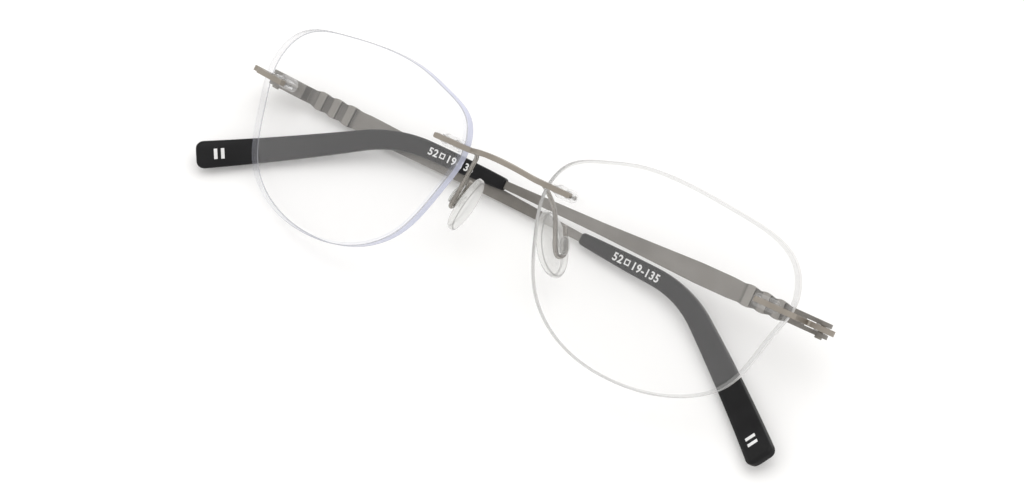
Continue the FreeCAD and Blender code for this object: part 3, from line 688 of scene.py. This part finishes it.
def print_on_tip(side, name, outlines, faces):
    """Lays flat artwork, given as (distance along the tip, height), on a tip's inner face."""
    vertices = []
    for distance, height in outlines:
        middle, up, inward = tip_frame(distance)
        share = min(0.95, abs(height) / tip_half_height(distance))
        depth = TIP_HALF_THICKNESS * (1 - share**TIP_POWER) ** (1 / TIP_POWER)
        vertices.append(middle + up * height + inward * (depth + PRINT_LIFT))
    return piece(name, vertices, faces, temple_place(side), "temple_" + side, [],
                 [PRINT])


CAPITAL_HEIGHT = 0.7                        # of the built-in font, at a size of 1


def lettering(text, height):
    """Flat numerals as vertices and faces, from the built-in font."""
    curve = bpy.data.curves.new("letters", "FONT")
    curve.body = text
    curve.size = height / CAPITAL_HEIGHT
    curve.space_character = 1.08
    curve.offset = 0.035 * height
    made = bpy.data.objects.new("letters", curve)
    bpy.context.scene.collection.objects.link(made)
    bpy.context.view_layer.update()
    mesh = bpy.data.meshes.new_from_object(made)
    vertices = [(v.co.x, v.co.y) for v in mesh.vertices]
    faces = [tuple(polygon.vertices) for polygon in mesh.polygons]
    bpy.data.objects.remove(made)
    return vertices, faces


def size_mark(side, start, direction, height):
    """The boxed size: two numbers with a small square between, then the temple length."""
    vertices, faces = [], []
    cursor = 0.0
    gap = 0.3 * height
    for text in ("52", None, "19-135"):
        if text is None:
            outer, inner = height * 0.78, height * 0.46
            base = len(vertices)
            middle = (cursor + outer / 2, height / 2)
            for edge in (outer, inner):
                half = edge / 2
                vertices += [(middle[0] + i * half, middle[1] + j * half)
                             for i, j in ((-1, -1), (1, -1), (1, 1), (-1, 1))]
            faces += [(base + i, base + (i + 1) % 4, base + 4 + (i + 1) % 4, base + 4 + i)
                      for i in range(4)]
            cursor += outer + gap
            continue
        letters, letter_faces = lettering(text, height)
        base = len(vertices)
        vertices += [(x + cursor, y) for x, y in letters]
        faces += [tuple(base + i for i in face) for face in letter_faces]
        cursor += max(x for x, _ in letters) + gap
    placed = [(start + direction * x, y - height / 2) for x, y in vertices]
    return print_on_tip(side, "size_mark_" + side, placed, faces)


def end_mark(side):
    """Two plain bars near the end of a tip."""
    vertices, faces = [], []
    half_width, half_height = 0.32, 1.05
    for from_end in (3.6, 4.9):
        base = len(vertices)
        middle = TIP_LENGTH - from_end
        vertices += [(middle + i * half_width, j * half_height)
                     for i, j in ((-1, -1), (1, -1), (1, 1), (-1, 1))]
        faces.append((base, base + 1, base + 2, base + 3))
    return print_on_tip(side, "end_mark_" + side, vertices, faces)


# ------------------------------------------------------------------ nose pads

PAD_OUTLINE = [
    (-1.4, 6.6), (-3.5, 4.2), (-4.1, 0.8), (-3.3, -2.8), (-1.0, -5.7),
    (1.7, -6.6), (3.9, -4.8), (4.4, -1.2), (3.2, 2.6), (0.9, 5.6),
]


PILLOW_STEPS = 16                           # rings on each side of a cushion's middle


def pillow(loop, half, power, middle_z):
    """A closed cushion over a loop: flat in the middle and round at its edge."""
    centre = loop.mean(axis=0)
    rings = []
    for step in range(-PILLOW_STEPS, PILLOW_STEPS + 1):
        level = math.sin(math.pi / 2 * step / PILLOW_STEPS)
        spread = (1 - abs(level) ** power) ** (1 / power)
        spread = max(spread, 0.02)
        points = centre + (loop - centre) * spread
        rings.append([(x, y, middle_z + half * level) for x, y in points])
    return capped_rings(rings)


def stadium(length, width):
    """A slot-shaped loop, long across Y."""
    count = 64
    reach = (length - width) / 2
    points = []
    for k in range(count):
        angle = 2 * math.pi * k / count
        x, y = math.cos(angle) * width / 2, math.sin(angle) * width / 2
        points.append((x, y + math.copysign(reach, y) if abs(y) > 1e-9 else y))
    return np.array(points)


def nose_pad(side):
    """A drop-shaped clear cushion with a boss and its cap on the outer side.

    Each part shows a darker line on both sides of its wall, from one ring to another."""
    cushion, line, cap = range(3)
    vertices, faces, slots = [], [], []
    parts = [
        # loop, half thickness, squareness, middle, rings of the line, material between
        (smooth_loop(PAD_OUTLINE, 144), 0.9, 4.0, 0.0, (7, 8), cushion),
        (stadium(2.8, 2.2), 1.05, 9.0, 1.85, (12, 13), cap),
        (stadium(3.6, 3.0), 0.26, 4.0, 3.04, (4, 7), cap),
    ]
    for loop, half, power, middle_z, (first, last), plain in parts:
        part_vertices, part_faces = pillow(loop, half, power, middle_z)
        base = len(vertices)
        vertices += part_vertices
        faces += [tuple(base + i for i in face) for face in part_faces]
        for index in range(len(part_faces)):
            band = index // len(loop) - PILLOW_STEPS
            from_middle = band if band >= 0 else -1 - band
            slots.append(line if first <= from_middle <= last else plain)
    return piece("nose_pad_" + side + "_clear", vertices, faces, on_side(side, PAD_PLACE),
                 "nose_pad_" + side, ["nose_pad_" + side],
                 [PAD_PLASTIC, PAD_LINE, CAP_PLASTIC], slots)


ARM_WIRE_RADIUS, ARM_END_ROUND = 0.45, 0.2
LOOP_HALF_WIDTH, LOOP_HEIGHT = 1.62, 2.1    # the wire's loop round the boss, in the pad's frame
LOOP_START, LOOP_BOTTOM, LOOP_END = 0.6, -2.25, 3.6
ARM_CORNERS = (Vector((7.3, 8.9, 1.9)), Vector((7.6, 8.3, -2.6)), Vector((9.8, 4.7, -6.0)))
ARM_RADII = (5.0, 8.0, 20.0, 1.55, 1.55)


def tube(path, radius, round_end):
    """A wire along a path, with its ends rounded off, turned as little as possible."""
    count = 20
    run = run_along(np.array(path))
    across = (path[1] - path[0]).orthogonal().normalized()
    rings = []
    for index, point in enumerate(path):
        ahead = path[min(index + 1, len(path) - 1)] - path[max(index - 1, 0)]
        across = (across - ahead.normalized() * across.dot(ahead.normalized())).normalized()
        other = ahead.normalized().cross(across)
        size = radius - rounded_end(min(run[index], run[-1] - run[index]), round_end)
        rings.append([point + (across * math.cos(turn) + other * math.sin(turn)) * size
                      for turn in (2 * math.pi * k / count for k in range(count))])
    return capped_rings(rings)


def pad_arm(side):
    """Bent wire from the bar, down beside the nose and round the boss of its pad."""
    loop = [PAD_PLACE @ Vector((across, up, LOOP_HEIGHT))
            for across, up in ((-LOOP_HALF_WIDTH, LOOP_START), (-LOOP_HALF_WIDTH, LOOP_BOTTOM),
                               (LOOP_HALF_WIDTH, LOOP_BOTTOM), (LOOP_HALF_WIDTH, LOOP_END))]
    bends = np.array(rounded_path([*ARM_CORNERS, *loop], ARM_RADII))
    run = run_along(bends)
    length = run[-1]
    ends = [0.0, 0.04, 0.1, 0.2]
    marks = ends + list(np.linspace(0.35, length - 0.35, 130)) + [length - e for e in ends[::-1]]
    path = [Vector([np.interp(mark, run, bends[:, axis]) for axis in range(3)])
            for mark in marks]
    for _ in range(6):                      # softens the joins of the arcs, not the ends
        inner = [(a + b * 2 + c) / 4 for a, b, c in zip(path[4:], path[5:], path[6:])]
        path = path[:5] + inner[:len(path) - 10] + path[-5:]
    vertices, faces = tube(path, ARM_WIRE_RADIUS, ARM_END_ROUND)
    return piece("pad_arm_" + side + "_wire", vertices, faces, on_side(side, Matrix.Identity(4)),
                 "front", ["pad_arm_" + side], [WIRE_METAL])


for side in ("right", "left"):
    lens(side)
    tip(side)
    nose_pad(side)
    pad_arm(side)
    end_mark(side)
bridge_bar()
size_mark("left", 17.4, -1.0, 1.45)
size_mark("right", 8.0, 1.0, 1.55)

# ------------------------------------------------------------------ CAD nodes keep their solids

FINISHES = {
    "bridge_pins": HINGE_METAL,
    "endpiece": BAR_METAL,
    "endpiece_pins": HINGE_METAL,
    "hinge_screw": HINGE_METAL,
    "hinge_washers": WASHER_METAL,
    "nasal_bushing": BUSHING_PLASTIC,
    "temporal_bushing": BUSHING_PLASTIC,
}
for name, node in NODES.items():
    family = name.removesuffix("_right").removesuffix("_left")
    finish = FINISHES.get(family)
    if family == "temple":
        finish = TEMPLE_METALS[name.removeprefix("temple_")]
    if finish:
        node.data.materials.clear()
        node.data.materials.append(finish)

# ------------------------------------------------------------------ floor, light and camera


KEY_PLACE, KEY_SIZE, KEY_POWER = (0.2, 0.42, 1.25), 1.3, 3.2       # metres and watts
SKY_STRENGTH = 1.05
CAMERA_PLACE = Vector((287.126, 59.232, 560.555))                  # in the glasses' own frame
CAMERA_RIGHT = Vector((0.81088, 0.3772, -0.44744))
CAMERA_UP = Vector((-0.38094, 0.92062, 0.08573))
CAMERA_LENS = 119.82


def floor():
    mesh = bpy.data.meshes.new("floor")
    half = 3.0
    mesh.from_pydata([(-half, -half, 0), (half, -half, 0), (half, half, 0), (-half, half, 0)],
                     [], [(0, 1, 2, 3)])
    made = bpy.data.objects.new("floor", mesh)
    bpy.context.scene.collection.objects.link(made)
    material = bpy.data.materials.new("floor_white")
    tree, nodes, links = nodes_of(material)
    shader = nodes.new("ShaderNodeBsdfPrincipled")
    shader.inputs["Base Color"].default_value = (0.96, 0.96, 0.96, 1)
    shader.inputs["Roughness"].default_value = 0.9
    shader.inputs["Specular IOR Level"].default_value = 0.1
    output = nodes.new("ShaderNodeOutputMaterial")
    links.new(shader.outputs["BSDF"], output.inputs["Surface"])
    mesh.materials.append(material)


def key_light():
    """A soft round light, aimed at the glasses."""
    data = bpy.data.lights.new("key", "AREA")
    data.shape = "DISK"
    data.size = KEY_SIZE
    data.energy = KEY_POWER
    made = bpy.data.objects.new("key", data)
    made.location = KEY_PLACE
    made.rotation_euler = (-Vector(KEY_PLACE)).to_track_quat("-Z", "Y").to_euler()
    bpy.context.scene.collection.objects.link(made)


def world():
    """An even, faintly warm white sky."""
    made = bpy.data.worlds.new("studio")
    made.use_nodes = True
    background = made.node_tree.nodes["Background"]
    background.inputs["Color"].default_value = (1.0, 0.99, 0.975, 1)
    background.inputs["Strength"].default_value = SKY_STRENGTH
    bpy.context.scene.world = made


def camera():
    """The view of the photograph."""
    back = CAMERA_RIGHT.cross(CAMERA_UP)
    place = Matrix((CAMERA_RIGHT, CAMERA_UP, back)).transposed().to_4x4()
    data = bpy.data.cameras.new("camera")
    data.lens = CAMERA_LENS
    data.sensor_width = 36.0
    data.sensor_fit = "HORIZONTAL"
    data.clip_start = 0.02
    made = bpy.data.objects.new("camera", data)
    made.matrix_world = Matrix.Translation(LAID @ CAMERA_PLACE) @ TURN @ place
    bpy.context.scene.collection.objects.link(made)
    bpy.context.scene.camera = made


floor()
world()
key_light()
camera()
bpy.context.scene.view_settings.view_transform = "Standard"
